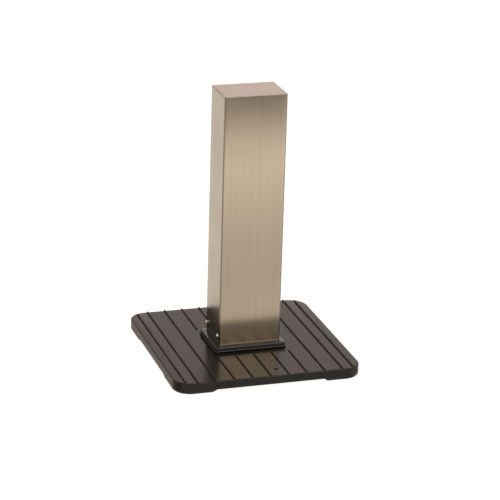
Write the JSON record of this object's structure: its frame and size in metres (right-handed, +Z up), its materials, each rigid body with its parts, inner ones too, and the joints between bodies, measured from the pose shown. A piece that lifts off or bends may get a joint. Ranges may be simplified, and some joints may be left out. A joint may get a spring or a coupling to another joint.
{
  "type": "pedestal post base",
  "caption": "Square cast base plate with black tread strips and corner feet, carrying a rectangular stainless steel post in a moulded collar.",
  "frame": {"origin": "on the floor, under the middle of the base plate", "axes": "+Z up along the post, -Y to the front edge beside the single plate hole, +X to the right"},
  "size_m": [0.457, 0.457, 0.655],
  "materials": {
    "painted_iron": "semi-gloss dark bronze powder coat on cast iron",
    "tread_rubber": "black moulded rubber",
    "sole_rubber": "black matt rubber",
    "black_nylon": "glossy black moulded nylon",
    "brushed_stainless": "stainless steel sheet, brushed lengthways",
    "zinc_steel": "zinc-plated steel",
    "stainless_screw": "bright stainless steel"
  },
  "bodies": {
    "root": {"base_bolt_back_left": "zinc_steel", "base_bolt_back_right": "zinc_steel", "base_bolt_front_left": "zinc_steel", "base_bolt_front_right": "zinc_steel", "base_nut_back_left": "zinc_steel", "base_nut_back_right": "zinc_steel", "base_nut_front_left": "zinc_steel", "base_nut_front_right": "zinc_steel", "base_plate": "painted_iron", "base_washer_back_left": "zinc_steel", "base_washer_back_right": "zinc_steel", "base_washer_front_left": "zinc_steel", "base_washer_front_right": "zinc_steel", "collar": "black_nylon", "foot_pad_back_left": "sole_rubber", "foot_pad_back_right": "sole_rubber", "foot_pad_front_left": "sole_rubber", "foot_pad_front_right": "sole_rubber", "post": "brushed_stainless", "post_bracket": "zinc_steel", "post_lid": "brushed_stainless", "side_screw_back_left": "stainless_screw", "side_screw_front_left": "stainless_screw", "tread_strip_1": "tread_rubber", "tread_strip_10": "tread_rubber", "tread_strip_11": "tread_rubber", "tread_strip_2": "tread_rubber", "tread_strip_3": "tread_rubber", "tread_strip_4_back": "tread_rubber", "tread_strip_4_front": "tread_rubber", "tread_strip_5_back": "tread_rubber", "tread_strip_5_front": "tread_rubber", "tread_strip_6_back": "tread_rubber", "tread_strip_6_front": "tread_rubber", "tread_strip_7_back": "tread_rubber", "tread_strip_7_front": "tread_rubber", "tread_strip_8_back": "tread_rubber", "tread_strip_8_front": "tread_rubber", "tread_strip_9": "tread_rubber", "weld_nut_back_left": "zinc_steel", "weld_nut_front_left": "zinc_steel"}
  },
  "joints": []
}
